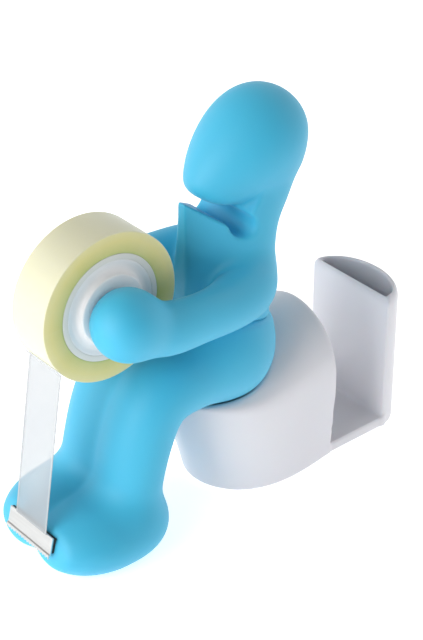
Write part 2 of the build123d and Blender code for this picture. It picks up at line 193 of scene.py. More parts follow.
def ring_stack(stations, outlines, middles, rows=200, spokes=481):
    """Field of stacked outlines: distance from the middle line less the outline's radius on that bearing."""
    bearings = np.linspace(0, pi, spokes)
    radii = []
    for outline, middle in zip(outlines, middles):
        dx, dy = outline[:, 0], outline[:, 1] - middle
        bearing = np.arctan2(dx, dy)
        order = np.argsort(bearing)
        radii.append(np.interp(bearings, bearing[order], np.hypot(dx, dy)[order]))
    zero = np.zeros(len(stations))
    table = rows_through(np.column_stack([stations, zero, zero, middles, radii]), rows)
    centre, radius = table[:, 3].astype(np.float32), table[:, 4:]
    slope = np.gradient(radius, bearings, axis=1)
    true = (radius / np.hypot(radius, slope)).astype(np.float32)
    radius = radius.astype(np.float32)

    def field(x, y, z):
        t = np.clip((z - stations[0]) / (stations[-1] - stations[0]), 0, 1) * (rows - 1)
        i = np.minimum(t.astype(int), rows - 2)
        f = t - i
        px, py = np.abs(x), y - (centre[i] * (1 - f) + centre[i + 1] * f)
        b = np.arctan2(px, py) * ((spokes - 1) / pi)
        j = np.clip(b.astype(int), 0, spokes - 2)
        g = b - j
        r = (radius[i, j] * (1 - g) + radius[i, j + 1] * g) * (1 - f)
        r = r + (radius[i + 1, j] * (1 - g) + radius[i + 1, j + 1] * g) * f
        return (np.hypot(px, py) - r) * true[i, j]

    return field


def half_outline(points, flat_half, flat_y):
    """Right half of an outline: a straight run from the middle, then a spline through the points."""
    knots = [(x, y, 0.0) for x, y in points] + [(-x, y, 0.0) for x, y in points[-2::-1]]
    curve = rows_through(knots, 801)[:401, :2]
    run = np.column_stack([np.linspace(0, flat_half, 60, endpoint=False), np.full(60, flat_y)])
    return np.concatenate([run, curve])


def torso_outlines():
    """Torso slices: a narrow front face, full sides and a round back."""
    made = []
    for w, front, back, keel in zip(torso_half, torso_front, torso_back, torso_keel):
        deep = back - front
        points = [(keel, front), (0.70 * w, front + 0.30 * deep), (w, front + 0.60 * deep),
                  (0.78 * w, front + 0.88 * deep), (0, back)]
        made.append(half_outline(points, keel, front))
    return made


def bowl_outlines():
    """Pedestal slices: a straight back, full sides and a round front."""
    made = []
    for w, end, front in zip(bowl_half, bowl_back_half, bowl_front):
        deep = bowl_back - front
        points = [(end, bowl_back), (w, front + 0.56 * deep), (0.72 * w, front + 0.16 * deep), (0, front)]
        made.append(half_outline(points, end, bowl_back))
    return made


torso_middle = [f + torso_middle_share * (b - f) for f, b in zip(torso_front, torso_back)]
torso_field = ring_stack(torso_z, torso_outlines(), torso_middle)
bowl_field = ring_stack(bowl_z, bowl_outlines(), [bowl_middle] * len(bowl_z))
neck_rows = rows_through(neck_path, 25)
arm_rows = rows_through(arm_path, 73)
leg_rows = rows_through(leg_path, 97)
arch_table = rows_through([(a[0], 0, 0, *a[1:]) for a in arch_rows], 149)


def soft_side(x, width):
    """Distance from the middle plane, rounded near it, so that a pair meets in a soft groove."""
    return np.sqrt(x * x + width * width)


def waist(y, z):
    """Height above the parting of the figure, which falls towards the back."""
    return y * sin(radians(waist_fall)) + (z - waist_z) * cos(radians(waist_fall))


def hips_and_legs(x, y, z):
    """Seat and both legs, melted together."""
    seat = egg(x, y, z, hips_at, hips_r)
    return soft_min(seat, limb(soft_side(x, thigh_groove), y, z, leg_rows), leg_blend)


def in_front(y, z):
    """Distance in front of the flat that the cutter's pad lies on."""
    lean = radians(blade_lean)
    return (blade_top[0] - y) * cos(lean) + (z - blade_top[1]) * sin(lean) + pad_t


def cylinder_hole(x, y, z, at, r, top):
    """Upright oval hole below a height."""
    away = (np.sqrt(((x - at[0]) / r[0]) ** 2 + ((y - at[1]) / r[1]) ** 2) - 1) * min(r)
    return np.maximum(away, z - top)


def lower_field(x, y, z):
    """Hips, legs and feet below the parting, with the recesses under them."""
    body = hips_and_legs(x, y, z)
    feet = soft_max(egg(soft_side(x, toe_groove), y, z, foot_at, foot_r), in_front(y, z), toe_edge)
    body = soft_min(body, feet, foot_blend)
    body = np.maximum(body, in_front(y, z))
    body = soft_max(body, waist(y, z), hip_edge)
    body = soft_max(body, rubber_t - z, sole_edge)
    body = np.maximum(body, -cylinder_hole(x, y, z, hips_at[:2], (magnet_r, magnet_r), magnet_top))
    return np.maximum(body, -cylinder_hole(x, y, z, sole_at, sole_r, sole_top))


def upper_field(x, y, z):
    """Torso, neck, head and arms above the parting, with the slot under the head."""
    c, s = cos(radians(mouth_fall)), sin(radians(mouth_fall))
    deep = (y - jaw_tip[0]) * c - (z - jaw_tip[1]) * s
    rise = (y - jaw_tip[0]) * s + (z - jaw_tip[1]) * c
    lips = np.maximum(np.abs(rise - lip_gap / 2) - lip_gap / 2, deep - mouth_depth)
    channel = np.hypot(deep - mouth_depth, rise - lip_gap / 2) - mouth_r
    slot = soft_min(lips, channel, channel_blend)
    neck = limb(x, y, z, neck_rows)
    torso = soft_max(torso_field(x, y, z), -np.maximum(-rise, deep - mouth_depth), jaw_edge)
    torso = soft_max(soft_min(torso, neck, neck_blend), -slot, lip_edge_below)
    head = soft_min(egg(x, y, z, head_at, head_r, head_lean, head_taper), neck, nape_blend)
    head = soft_max(head, -slot, lip_edge_above)
    body = soft_max(soft_min(torso, head, head_blend), -waist(y, z), waist_edge)
    side = np.abs(x)
    arm = soft_min(limb(side, y, z, arm_rows), egg(side, y, z, fist_at, fist_r), fist_blend)
    arm = soft_max(arm, np.where(y < palm_back, palm - side, far_inside), palm_edge)
    return soft_min(body, arm, shoulder_blend)


def arch_field(x, y, z):
    """Straight sides under an oval back whose size changes along Y. X is kept off zero, where the oval has no
    slope."""
    wide, top, rise = (np.interp(y, arch_table[:, 0], arch_table[:, i]).astype(np.float32)
                       for i in (3, 4, 5))
    side, up = np.maximum(np.abs(x), near_zero), np.maximum(z - (top - rise), 0)
    return oval((side, wide), (up, rise))


def block(x, y, z, front, back, half, bottom, top):
    """Field of an upright block."""
    across = np.maximum(np.abs(x) - half, np.maximum(front - y, y - back))
    return np.maximum(across, np.maximum(bottom - z, z - top))


def tank_shape(x, y, z, front, half, deep, bottom, top, edge):
    """A D-shaped block, flat in front and oval behind, with its top edge rounded."""
    plan = soft_max(oval((x, half), (np.maximum(y - front, 0), deep)), front - y, tank_corner)
    return soft_max(soft_max(plan, z - top, edge), bottom - z, tank_foot)


def base_field(x, y, z):
    """Pedestal, slot floor and tank, less the seat, the bowl under it and the recess of the base plate."""
    hump = soft_max(bowl_field(x, y, z), arch_field(x, y, z), arch_edge)
    slab = block(x, y, z, bowl_back - floor_front_lap, tank_front + floor_back_lap, floor_half, 0.0,
                 floor_top)
    tank = tank_shape(x, y, z, tank_front, tank_half, tank_deep, 0.0, tank_top, 2 * tank_edge)
    body = soft_min(soft_min(hump, slab, floor_blend), tank, tank_blend)
    body = soft_max(body, rubber_t - z, base_edge)
    body = soft_max(body, -(hips_and_legs(x, y, z) - seat_gap), seat_edge)
    well = tank_shape(x, y, z, tank_front + tank_lip, tank_half - tank_wall,
                      tank_deep - tank_lip - tank_wall, well_floor, 2 * tank_top, well_top_edge)
    body = soft_max(body, -well, hollow_edge)
    pocket = np.sqrt((x / pocket_r[0]) ** 2 + ((y - pocket_at[1]) / pocket_r[1]) ** 2) - 1
    body = soft_max(body, -soft_max(pocket * pocket_r[1], pocket_floor - z, pocket_corner), hollow_edge)
    under = np.maximum(hump + base_wall, z - plate_top)
    return np.maximum(body, -under)


# ------------------------------------------------------------------ skins
def settle(points, field, step):
    """Moves points on to the zero surface of a field along its gradient, by at most half a step."""
    h = probe_share * step
    at = [points[:, a].astype(np.float32) for a in range(3)]
    slope = []
    for a in range(3):
        ahead, behind = list(at), list(at)
        ahead[a], behind[a] = at[a] + h, at[a] - h
        slope.append((field(*ahead) - field(*behind)) / (2 * h))
    slope = np.column_stack(slope)
    steep = np.maximum((slope ** 2).sum(1), least_slope)
    away = np.clip(field(*at) / np.sqrt(steep), -0.5 * step, 0.5 * step)
    return points - slope / np.sqrt(steep)[:, None] * away[:, None]


def skin(field, low, high, step, rounds=3):
    """Closed quads on a field's zero surface: one point in each grid cell that it crosses, at the mean of the
    crossings on the cell's edges, one quad round each crossed edge, then smoothing and settling in turn.
    The field is the same on both sides of the middle plane, so half of the grid is worked out."""
    low, high = np.array(low, float), np.array(high, float)
    count = np.ceil((high - low) / step).astype(int) + 1
    half = int(np.ceil(high[0] / step))
    count[0] = 2 * half + 1
    low[0] = -half * step
    grid = [(low[a] + step * np.arange(count[a])).astype(np.float32) for a in range(3)]
    right = field(grid[0][half:, None, None], grid[1][None, :, None], grid[2][None, None, :])
    value = np.concatenate([right[:0:-1], right])
    inside = value < 0
    cells = count - 1
    flat = np.array([cells[1] * cells[2], cells[2], 1])
    owners, places, faces = [], [], []
    for a in range(3):
        near, far = [slice(None)] * 3, [slice(None)] * 3
        near[a], far[a] = slice(0, -1), slice(1, None)
        v0, v1 = value[tuple(near)], value[tuple(far)]
        crossed = inside[tuple(near)] != inside[tuple(far)]
        edge = np.argwhere(crossed)
        point = edge.astype(float)
        point[:, a] += v0[crossed] / (v0[crossed] - v1[crossed])
        own = edge @ flat
        b, c = flat[(a + 1) % 3], flat[(a + 2) % 3]
        quad = np.column_stack([own - b - c, own - c, own, own - b])
        outward = inside[tuple(near)][crossed]
        faces.append(np.where(outward[:, None], quad, quad[:, ::-1]))
        owners.append(quad.ravel())
        places.append(np.repeat(point, 4, axis=0))
    faces, owners, places = np.concatenate(faces), np.concatenate(owners), np.concatenate(places)
    used, owners = np.unique(owners, return_inverse=True)
    faces = np.searchsorted(used, faces)
    share = np.bincount(owners)
    points = np.column_stack([np.bincount(owners, places[:, a]) / share for a in range(3)]) * step + low
    points = settle(points, field, step)
    start, end = faces.ravel(), np.roll(faces, -1, axis=1).ravel()
    size = len(points)
    ties = np.bincount(start, minlength=size) + np.bincount(end, minlength=size)
    for _ in range(rounds):
        total = [np.bincount(start, points[end, a], size) + np.bincount(end, points[start, a], size)
                 for a in range(3)]
        points = (1 - smoothing) * points + smoothing * np.column_stack(total) / ties[:, None]
        points = settle(points, field, step)
    return points, faces


def turned(profile, steps=turn_steps):
    """A closed profile of (x, radius) rows carried round the roll's axle: y = r cos, z = r sin."""
    profile = np.asarray(profile, float)
    angle = np.linspace(0, 2 * pi, steps, endpoint=False)[:, None]
    x = np.broadcast_to(profile[:, 0], (steps, len(profile)))
    y, z = roll_y + np.cos(angle) * profile[:, 1], roll_z + np.sin(angle) * profile[:, 1]
    return np.stack([x, y, z], axis=-1).reshape(-1, 3), wrap(steps, len(profile), True, True)


def wrap(rows, columns, close_rows, close_columns):
    """Quads of a grid of points, joined at its ends where asked."""
    i, j = np.meshgrid(np.arange(rows if close_rows else rows - 1),
                       np.arange(columns if close_columns else columns - 1), indexing="ij")
    k, m = (i + 1) % rows, (j + 1) % columns
    quads = [i * columns + j, k * columns + j, k * columns + m, i * columns + m]
    return np.stack(quads, axis=-1).reshape(-1, 4)


def carry_across(ring, half, count):
    """A closed ring of (y, z) rows carried across X from -half to half: points, quads and the ring's
    length."""
    across = np.linspace(-half, half, count)
    points = np.concatenate([np.broadcast_to(across[:, None, None], (count, len(ring), 1)),
                             np.broadcast_to(ring[None], (count, len(ring), 2))], axis=-1)
    return points.reshape(-1, 3), wrap(count, len(ring), False, True), len(ring)


def rounded(corners, r, steps=corner_steps):
    """A closed outline with rounded corners: each is a curve from side to side, the corner its handle."""
    p = np.asarray(corners, float)
    r = np.broadcast_to(np.asarray(r, float), len(p))[:, None]
    before, after = np.roll(p, 1, axis=0) - p, np.roll(p, -1, axis=0) - p
    a = p + before / np.linalg.norm(before, axis=1)[:, None] * r
    b = p + after / np.linalg.norm(after, axis=1)[:, None] * r
    t = np.linspace(0, 1, steps)[None, :, None]
    curve = a[:, None] * (1 - t) ** 2 + p[:, None] * (2 * t * (1 - t)) + b[:, None] * t ** 2
    return curve.reshape(-1, 2)


def facing_out(points, faces):
    """The quads of a closed mesh, turned round if its signed volume is negative."""
    a, b, c, d = (points[faces[:, i]] for i in range(4))
    volume = (np.cross(a, b) * c + np.cross(a, c) * d).sum()
    return faces if volume > 0 else faces[:, ::-1]


def make_piece(name, points, faces, body, material, slot, replaced=(), sharp=50.0):
    """A mesh object at the origin that rides on a body and stands for CAD nodes."""
    points = to_row(points)
    faces = facing_out(points, faces)
    mesh = bpy.data.meshes.new(name)
    mesh.vertices.add(len(points))
    mesh.vertices.foreach_set("co", points.astype(np.float32).ravel())
    mesh.loops.add(faces.size)
    mesh.loops.foreach_set("vertex_index", faces.astype(np.int32).ravel())
    mesh.polygons.add(len(faces))
    mesh.polygons.foreach_set("loop_start", np.arange(0, faces.size, faces.shape[1], dtype=np.int32))
    mesh.update(calc_edges=True)
    mesh.validate()
    made = bpy.data.objects.new(name, mesh)
    bpy.context.scene.collection.objects.link(made)
    mesh.shade_smooth()
    mesh.set_sharp_from_angle(angle=radians(sharp))
    mesh.materials.append(material)
    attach(made, body)
    if replaced:
        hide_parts(*replaced)


# ------------------------------------------------------------------ materials
def new_group(name, inputs, outputs):
    """An empty shader group with float inputs and outputs of the kinds asked."""
    group = bpy.data.node_groups.new(name, "ShaderNodeTree")
    for label, value in inputs:
        socket = group.interface.new_socket(name=label, in_out="INPUT", socket_type="NodeSocketFloat")
        socket.default_value = value
    for label, kind in outputs:
        group.interface.new_socket(name=label, in_out="OUTPUT", socket_type=kind)
    return group, group.nodes.new("NodeGroupInput"), group.nodes.new("NodeGroupOutput")


def math_node(tree, kind, a, b):
    """A Math node with two inputs, each a socket or a number."""
    node = tree.nodes.new("ShaderNodeMath")
    node.operation = kind
    for i, value in enumerate((a, b)):
        if isinstance(value, (int, float)):
            node.inputs[i].default_value = value
        else:
            tree.links.new(value, node.inputs[i])
    return node.outputs[0]


def noise_node(tree, vector, scale, detail=2.0):
    """Noise over Object coordinates; scale is a socket or a number, per metre."""
    node = tree.nodes.new("ShaderNodeTexNoise")
    tree.links.new(vector, node.inputs["Vector"])
    node.inputs["Detail"].default_value = detail
    if isinstance(scale, (int, float)):
        node.inputs["Scale"].default_value = scale
    else:
        tree.links.new(scale, node.inputs["Scale"])
    return node.outputs["Fac"]


def line_noise(tree, value, scale, detail):
    """Noise along one value."""
    node = tree.nodes.new("ShaderNodeTexNoise")
    node.noise_dimensions = "1D"
    node.inputs["Scale"].default_value = scale
    node.inputs["Detail"].default_value = detail
    tree.links.new(value, node.inputs["W"])
    return node.outputs["Fac"]


def slow_waves(tree, vector, scale):
    """A slow, smooth mottle of 0..1: the mean of three sines of X, Y and Z, each bent by a sine of the next.
    Scale is a socket or a number, per metre."""
    split = tree.nodes.new("ShaderNodeSeparateXYZ")
    tree.links.new(vector, split.inputs[0])
    along = [math_node(tree, "MULTIPLY", split.outputs[axis], scale) for axis in "XYZ"]
    total = 0.5
    for i, (pace, bend, start) in enumerate(((2.1, 1.3, 0.0), (1.9, 1.1, 0.7), (1.7, 1.5, 2.1))):
        turn = math_node(tree, "ADD", math_node(tree, "MULTIPLY", along[(i + 1) % 3], bend), start)
        swing = math_node(tree, "MULTIPLY", math_node(tree, "SINE", turn, 0.0), 1.4)
        swung = math_node(tree, "ADD", math_node(tree, "MULTIPLY", along[i], pace), swing)
        wave = math_node(tree, "SINE", swung, 0.0)
        total = math_node(tree, "ADD", math_node(tree, "MULTIPLY", wave, 1 / 6), total)
    return total


def moulded_grain_group():
    """Fine and coarse noise of a moulded skin: a height for bump and a slow mottle."""
    group, given, result = new_group("moulded_grain", [("Fine", 2600.0), ("Slow", 45.0)],
                                     [("Height", "NodeSocketFloat"), ("Mottle", "NodeSocketFloat")])
    where = group.nodes.new("ShaderNodeTexCoord").outputs["Object"]
    fine = noise_node(group, where, given.outputs["Fine"], 3.0)
    slow = slow_waves(group, where, given.outputs["Slow"])
    height = math_node(group, "ADD", fine, math_node(group, "MULTIPLY", slow, 0.4))
    group.links.new(height, result.inputs["Height"])
    group.links.new(slow, result.inputs["Mottle"])
    return group


def edge_and_crease_masks_group():
    """Mask of convex edges from pointiness, broken up by noise, for edge wear; Crease is the same for
    hollows, a mask for painted shade.
    """
    group, given, result = new_group("edge_wear_and_crease_shade", [("Low", 0.52), ("High", 0.60)],
                                     [("Edge", "NodeSocketFloat"), ("Crease", "NodeSocketFloat")])
    where = group.nodes.new("ShaderNodeTexCoord").outputs["Object"]
    sharp = group.nodes.new("ShaderNodeNewGeometry").outputs["Pointiness"]
    span = group.nodes.new("ShaderNodeMapRange")
    group.links.new(sharp, span.inputs["Value"])
    group.links.new(given.outputs["Low"], span.inputs["From Min"])
    group.links.new(given.outputs["High"], span.inputs["From Max"])
    rough = noise_node(group, where, 700.0, 4.0)
    group.links.new(math_node(group, "MULTIPLY", span.outputs["Result"], rough), result.inputs["Edge"])
    # Crease: mask of hollows, which the mouldings darken as painted shade
    hollow = group.nodes.new("ShaderNodeMapRange")
    group.links.new(sharp, hollow.inputs["Value"])
    hollow.inputs["From Min"].default_value = 0.475
    hollow.inputs["From Max"].default_value = 0.42
    group.links.new(hollow.outputs["Result"], result.inputs["Crease"])
    return group


def roll_place_group():
    """Distance from the roll's axle in millimetres and the angle round it, from Object coordinates."""
    group, _, result = new_group("roll_place", [],
                                 [("Radius", "NodeSocketFloat"), ("Turn", "NodeSocketFloat")])
    split = group.nodes.new("ShaderNodeSeparateXYZ")
    group.links.new(group.nodes.new("ShaderNodeTexCoord").outputs["Object"], split.inputs[0])
    y = math_node(group, "SUBTRACT", split.outputs["Y"], float(roll_middle[1]))
    z = math_node(group, "SUBTRACT", split.outputs["Z"], float(roll_middle[2]))
    square = math_node(group, "ADD", math_node(group, "MULTIPLY", y, y), math_node(group, "MULTIPLY", z, z))
    radius = math_node(group, "MULTIPLY", math_node(group, "SQRT", square, 0.0), 1 / mm)
    group.links.new(radius, result.inputs["Radius"])
    group.links.new(math_node(group, "ARCTAN2", z, y), result.inputs["Turn"])
    return group


grain_group, edge_and_crease_group, place_group = moulded_grain_group(), edge_and_crease_masks_group(), roll_place_group()


def place_group_node(tree, group, **values):
    """A group placed in a material with its own values."""
    node = tree.nodes.new("ShaderNodeGroup")
    node.node_tree = group
    for label, value in values.items():
        node.inputs[label].default_value = value
    return node


def ramp(tree, factor, stops):
    """Colour ramp with stops of (place, colour)."""
    node = tree.nodes.new("ShaderNodeValToRGB")
    band = node.color_ramp
    while len(band.elements) < len(stops):
        band.elements.new(0.5)
    for element, (place, colour) in zip(band.elements, stops):
        element.position = place
        element.color = (*colour, 1.0)
    tree.links.new(factor, node.inputs["Fac"])
    return node.outputs["Color"]


def mix_colour(tree, factor, a, b):
    """Mix of two colours, each a socket or a triple."""
    node = tree.nodes.new("ShaderNodeMix")
    node.data_type = "RGBA"
    tree.links.new(factor, node.inputs["Factor"])
    for label, value in (("A", a), ("B", b)):
        socket = [s for s in node.inputs if s.name == label and s.type == "RGBA"][0]
        if isinstance(value, tuple):
            socket.default_value = (*value, 1.0)
        else:
            tree.links.new(value, socket)
    return [s for s in node.outputs if s.type == "RGBA"][0]


def bump(tree, height, distance, strength=1.0):
    """Bump from a height, its depth in metres."""
    node = tree.nodes.new("ShaderNodeBump")
    node.inputs["Strength"].default_value = strength
    node.inputs["Distance"].default_value = distance
    tree.links.new(height, node.inputs["Height"])
    return node.outputs["Normal"]


def span_of(tree, value, low, high):
    """Value from 0..1 spread over a range."""
    node = tree.nodes.new("ShaderNodeMapRange")
    tree.links.new(value, node.inputs["Value"])
    node.inputs["To Min"].default_value = low
    node.inputs["To Max"].default_value = high
    return node.outputs["Result"]


def new_material(name, **sockets):
    """A material with a Principled shader whose plain sockets are set directly."""
    material = bpy.data.materials.new(name)
    material.use_nodes = True
    tree = material.node_tree
    shader = tree.nodes["Principled BSDF"]
    for label, value in sockets.items():
        shader.inputs[label.replace("_", " ")].default_value = value
    return material, tree, shader


def moulded(name, dark, light, rough, fine, depth, worn, crease_shade, **sockets):
    """Moulded skin: mottled colour, lighter worn edges, hollows darkened with painted shade, fine grain and
    uneven gloss.
    """
    crease_shade_share, worn_share, grain_strength = 0.35, 0.30, 0.35
    material, tree, shader = new_material(name, **sockets)
    grain = place_group_node(tree, grain_group, Fine=fine)
    edge_and_crease = place_group_node(tree, edge_and_crease_group)
    colour = mix_colour(tree, grain.outputs["Mottle"], dark, light)
    # Painted shade: the hollows are darkened towards a shade colour
    hollows = math_node(tree, "MULTIPLY", edge_and_crease.outputs["Crease"], crease_shade_share)
    colour = mix_colour(tree, hollows, colour, crease_shade)
    edges = math_node(tree, "MULTIPLY", edge_and_crease.outputs["Edge"], worn_share)
    colour = mix_colour(tree, edges, colour, worn)
    tree.links.new(colour, shader.inputs["Base Color"])
    tree.links.new(span_of(tree, grain.outputs["Mottle"], *rough), shader.inputs["Roughness"])
    if depth:
        height = bump(tree, grain.outputs["Height"], depth, grain_strength)
        tree.links.new(height, shader.inputs["Normal"])
    return material


def tape_material():
    """Wound film: colour by distance from the axle, faint wound rings and slow painted highlight streaks
    round the roll.
    """
    material, tree, shader = new_material("wound_tape", IOR=1.46, Coat_Weight=0.15, Coat_Roughness=0.2,
                                          Subsurface_Weight=0.25, Subsurface_Scale=0.004,
                                          Subsurface_Radius=(1.0, 0.9, 0.4))
    place = place_group_node(tree, place_group)
    depth = tree.nodes.new("ShaderNodeMapRange")
    tree.links.new(place.outputs["Radius"], depth.inputs["Value"])
    depth.inputs["From Min"].default_value = core_outer
    depth.inputs["From Max"].default_value = tape_outer
    colour = ramp(tree, depth.outputs["Result"], [(0.0, (0.46, 0.54, 0.13)), (0.15, (0.58, 0.58, 0.17)),
                                                  (0.6, (0.70, 0.65, 0.22)), (0.93, (0.72, 0.68, 0.30)),
                                                  (1.0, (0.71, 0.695, 0.49))])
    ring = line_noise(tree, place.outputs["Radius"], 5.0, 4.0)
    # Painted highlight: pale streaks round the roll are mixed into the colour
    painted_highlight_streak = math_node(tree, "MULTIPLY", line_noise(tree, place.outputs["Turn"], 1.7, 2.0), 0.24)
    tree.links.new(mix_colour(tree, painted_highlight_streak, colour, (0.90, 0.89, 0.74)), shader.inputs["Base Color"])
    tree.links.new(span_of(tree, ring, 0.29, 0.42), shader.inputs["Roughness"])
    tree.links.new(bump(tree, ring, 0.00012, 0.5), shader.inputs["Normal"])
    return material


def film_material():
    """Thin film: see-through, milky in slow patches and along its two edges."""
    clear, milky, edge_gain, cloud_scale = 0.44, 0.54, 0.25, 90.0
    material, tree, shader = new_material("clear_film", IOR=1.46)
    where = tree.nodes.new("ShaderNodeTexCoord").outputs["Object"]
    cloud = slow_waves(tree, where, cloud_scale)
    split = tree.nodes.new("ShaderNodeSeparateXYZ")
    tree.links.new(where, split.inputs[0])
    rim = tree.nodes.new("ShaderNodeMapRange")
    tree.links.new(math_node(tree, "ABSOLUTE", split.outputs["X"], 0.0), rim.inputs["Value"])
    rim.inputs["From Min"].default_value = (tape_half - 1.0) * mm
    rim.inputs["From Max"].default_value = (tape_half - 0.5) * mm
    colour = mix_colour(tree, cloud, (0.46, 0.48, 0.50), (0.56, 0.58, 0.59))
    tree.links.new(colour, shader.inputs["Base Color"])
    edge = math_node(tree, "MULTIPLY", rim.outputs["Result"], edge_gain)
    alpha = math_node(tree, "ADD", span_of(tree, cloud, clear, milky), edge)
    tree.links.new(alpha, shader.inputs["Alpha"])
    tree.links.new(span_of(tree, cloud, 0.30, 0.38), shader.inputs["Roughness"])
    return material


def brushed_material(name, dark, light, rough, stretch):
    """Metal with drawn lines along X and uneven shine."""
    line_scale, line_depth, worn_share = 900.0, 0.00004, 0.6
    material, tree, shader = new_material(name, Metallic=1.0)
    edge_and_crease = place_group_node(tree, edge_and_crease_group)
    mapping = tree.nodes.new("ShaderNodeMapping")
    mapping.inputs["Scale"].default_value = stretch
    tree.links.new(tree.nodes.new("ShaderNodeTexCoord").outputs["Object"], mapping.inputs["Vector"])
    lines = noise_node(tree, mapping.outputs["Vector"], line_scale, 4.0)
    colour = mix_colour(tree, lines, dark, light)
    worn = math_node(tree, "MULTIPLY", edge_and_crease.outputs["Edge"], worn_share)
    tree.links.new(mix_colour(tree, worn, colour, (0.95, 0.95, 0.94)), shader.inputs["Base Color"])
    tree.links.new(span_of(tree, lines, *rough), shader.inputs["Roughness"])
    tree.links.new(bump(tree, lines, line_depth, 0.4), shader.inputs["Normal"])
    return material


def foam_material():
    """Dark closed-cell foam with small round cells."""
    material, tree, shader = new_material("dark_foam")
    cells = tree.nodes.new("ShaderNodeTexVoronoi")
    cells.inputs["Scale"].default_value = 2200.0
    tree.links.new(tree.nodes.new("ShaderNodeTexCoord").outputs["Object"], cells.inputs["Vector"])
    gap = cells.outputs["Distance"]
    colour = ramp(tree, gap, [(0.0, (0.008, 0.008, 0.009)), (0.8, (0.03, 0.03, 0.032))])
    tree.links.new(colour, shader.inputs["Base Color"])
    tree.links.new(span_of(tree, gap, 0.75, 0.95), shader.inputs["Roughness"])
    tree.links.new(bump(tree, gap, 0.0002, 0.8), shader.inputs["Normal"])
    return material


# In each moulding below, the colour for hollows is a painted shade colour
blue = moulded("soft_blue", dark=(0.040, 0.440, 0.675), light=(0.053, 0.490, 0.730), rough=(0.46, 0.58),
               fine=2600.0, depth=0.00006, worn=(0.08, 0.53, 0.76), crease_shade=(0.010, 0.24, 0.47),
               Sheen_Weight=0.10, Sheen_Roughness=0.5, Specular_IOR_Level=0.6, Subsurface_Weight=0.12,
               Subsurface_Scale=0.003, Subsurface_Radius=(0.2, 0.6, 1.0), IOR=1.45)
white = moulded("white_moulding", dark=(0.70, 0.70, 0.745), light=(0.765, 0.765, 0.805), rough=(0.29, 0.39),
                fine=1500.0, depth=0.0, worn=(0.86, 0.86, 0.88), crease_shade=(0.50, 0.50, 0.56),
                Coat_Weight=0.2, Coat_Roughness=0.2, Subsurface_Weight=0.08, Subsurface_Scale=0.003,
                IOR=1.48)
hub_white = moulded("hub_white", dark=(0.80, 0.80, 0.80), light=(0.87, 0.87, 0.87), rough=(0.29, 0.38),
                    fine=1800.0, depth=0.00003, worn=(0.9, 0.9, 0.9), crease_shade=(0.48, 0.48, 0.50),
                    Coat_Weight=0.25, Coat_Roughness=0.15, IOR=1.48)
core_pale = moulded("core_pale", dark=(0.66, 0.67, 0.64), light=(0.74, 0.75, 0.71), rough=(0.35, 0.5),
                    fine=1400.0, depth=0.00005, worn=(0.78, 0.78, 0.76), crease_shade=(0.42, 0.42, 0.40),
                    IOR=1.47)
rubber = moulded("grey_rubber", dark=(0.10, 0.10, 0.105), light=(0.15, 0.15, 0.155), rough=(0.7, 0.9),
                 fine=1800.0, depth=0.00012, worn=(0.24, 0.24, 0.25), crease_shade=(0.05, 0.05, 0.05), IOR=1.5)
tape_look, film, foam = tape_material(), film_material(), foam_material()
nickel = brushed_material("cutter_steel", dark=(0.50, 0.50, 0.49), light=(0.66, 0.66, 0.65),
                          rough=(0.29, 0.43), stretch=(0.08, 1.0, 1.0))
steel = brushed_material("plain_steel", dark=(0.42, 0.42, 0.43), light=(0.60, 0.60, 0.60),
                         rough=(0.29, 0.43), stretch=(0.3, 1.0, 1.0))
iron = brushed_material("cast_iron", dark=(0.10, 0.10, 0.105), light=(0.18, 0.18, 0.18),
                        rough=(0.55, 0.75), stretch=(1.0, 1.0, 1.0))
magnet_look = brushed_material("magnet_plate", dark=(0.55, 0.55, 0.54), light=(0.68, 0.68, 0.66),
                               rough=(0.29, 0.37), stretch=(1.0, 1.0, 1.0))


# ------------------------------------------------------------------ pieces
def make_skins():
    """The two halves of the figure and the pedestal, as skins of their fields."""
    upper = skin(upper_field, (-36, -75, 66), (36, 42, 168), grain_step)
    make_piece("figure_upper", *upper, "figure", blue, "blue_soft", ["upper_body"])
    lower = skin(lower_field, (-33, -96, -1), (33, 24, 92), grain_step)
    make_piece("figure_lower", *lower, "figure", blue, "blue_soft", ["lower_body"])
    base = skin(base_field, (-30, -36, -1), (30, 90, 70), grain_step)
    make_piece("pedestal", *base, "base", white, "white_gloss", ["base_shell"])


def hub_profile(side):
    """Half of the hub: a shallow dish from the core's edge, a hollow root and a boss with a rounded rim."""
    sleeve = [(0.0, axle_bore), (0.0, core_inner - 0.03), (hub_disc + 0.65, core_inner - 0.03)]
    dish = [(hub_disc + 0.70, core_inner - 0.10), (hub_disc + 0.45, core_inner - 0.8),
            (hub_disc, core_inner - 2.0)]
    root = rows_through([(*dish[-1], 0), (hub_disc + 0.05, boss_r + 1.9, 0),
                         (hub_disc + 0.45, boss_r + 0.75, 0), (hub_disc + 1.3, boss_r + 0.15, 0),
                         (boss_top - 0.6, boss_r, 0)], 25)[1:, :2]
    rim = [(boss_top - 0.3, boss_r - 0.08), (boss_top - 0.08, boss_r - 0.3), (boss_top, boss_r - 0.7),
           (boss_top, axle_bore + 1.0), (boss_top - 0.4, axle_bore)]
    profile = np.concatenate([sleeve, dish, root, rim]) * np.array([side, 1.0])
    return profile if side < 0 else profile[::-1]


